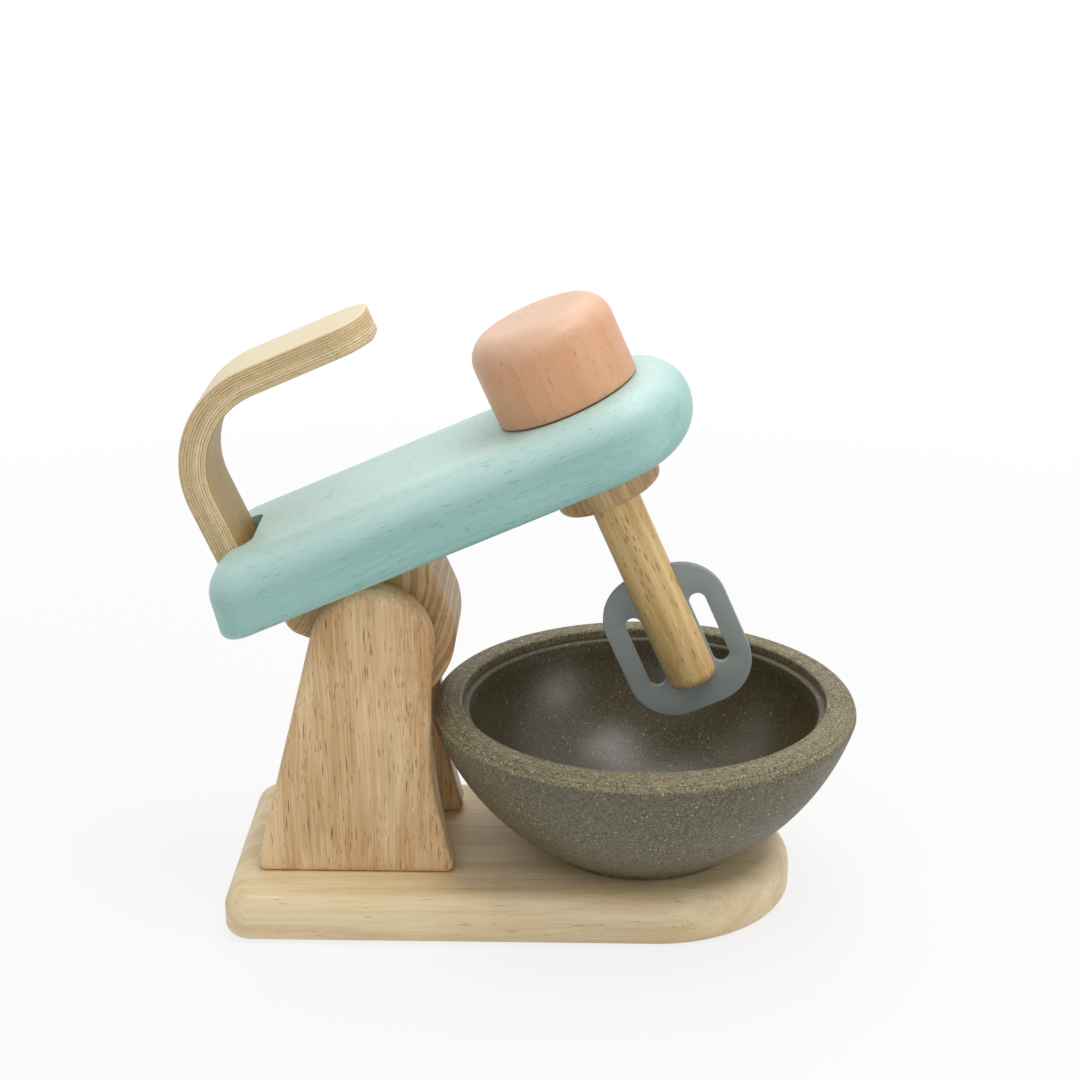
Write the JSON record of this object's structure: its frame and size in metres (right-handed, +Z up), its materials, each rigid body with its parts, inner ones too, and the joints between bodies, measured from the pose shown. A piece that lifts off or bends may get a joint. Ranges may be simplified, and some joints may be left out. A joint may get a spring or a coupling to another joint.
{
  "type": "toy stand mixer",
  "caption": "Wooden toy stand mixer with a tilting head, bent handle, turning knob, pull-out slotted beater and loose bowl.",
  "frame": {"origin": "middle of the base board's underside", "axes": "+X from the rear of the mixer to its nose, +Y across to the far upright, +Z up"},
  "size_m": [0.2395, 0.154, 0.2252],
  "materials": {
    "rubberwood": "sanded smooth, thin clear coat",
    "mint_stained_wood": "thin mint stain that lets the grain show, satin",
    "pink_stained_wood": "thin salmon pink stain, satin",
    "bent_plywood": "clear coated veneer with the plies showing on its edges",
    "grey_painted_plywood": "matt slate grey paint",
    "wood_fibre": "moulded wood fibre, speckled, satin",
    "nylon": "milky, translucent"
  },
  "bodies": {
    "stand": {"base_board": "rubberwood", "front_upright": "rubberwood", "rear_upright": "rubberwood", "foot_dowel_1": "rubberwood", "foot_dowel_2": "rubberwood", "foot_dowel_3": "rubberwood", "foot_dowel_4": "rubberwood", "pivot_pin": "rubberwood", "stop_dowel": "rubberwood", "front_washer": "nylon", "rear_washer": "nylon"},
    "tilt_block": {"pivot_block": "rubberwood", "block_peg": "nylon"},
    "head": {"head_board": "mint_stained_wood", "handle": "bent_plywood", "head_peg": "nylon"},
    "spindle": {"speed_knob": "pink_stained_wood", "spindle_dowel": "rubberwood", "drive_disc": "rubberwood", "knob_washer": "nylon", "disc_washer": "nylon"},
    "beater": {"beater_dowel": "rubberwood", "beater_paddle": "grey_painted_plywood", "beater_peg": "nylon"},
    "bowl": {"bowl": "wood_fibre"}
  },
  "joints": [
    {"name": "head_tilt", "type": "hinge", "parent": "stand", "child": "tilt_block", "pos_m": [-0.0478, 0, 0.1058], "axis": [0, -1, 0], "range_deg": [-23.5, 21.5]},
    {"name": "head_lift", "type": "slide", "parent": "tilt_block", "child": "head", "axis": [-0.3987, 0, 0.9171], "range_m": [0, 0.05]},
    {"name": "knob_turn", "type": "hinge", "parent": "head", "child": "spindle", "pos_m": [0.03978, 0, 0.14388], "axis": [-0.3987, 0, 0.9171], "continuous": true},
    {"name": "beater_pull", "type": "slide", "parent": "spindle", "child": "beater", "axis": [0.3987, 0, -0.9171], "range_m": [0, 0.025]},
    {"name": "bowl_lift", "type": "slide", "parent": "stand", "child": "bowl", "axis": [0.5, 0, 0.866], "range_m": [0, 0.035]}
  ]
}
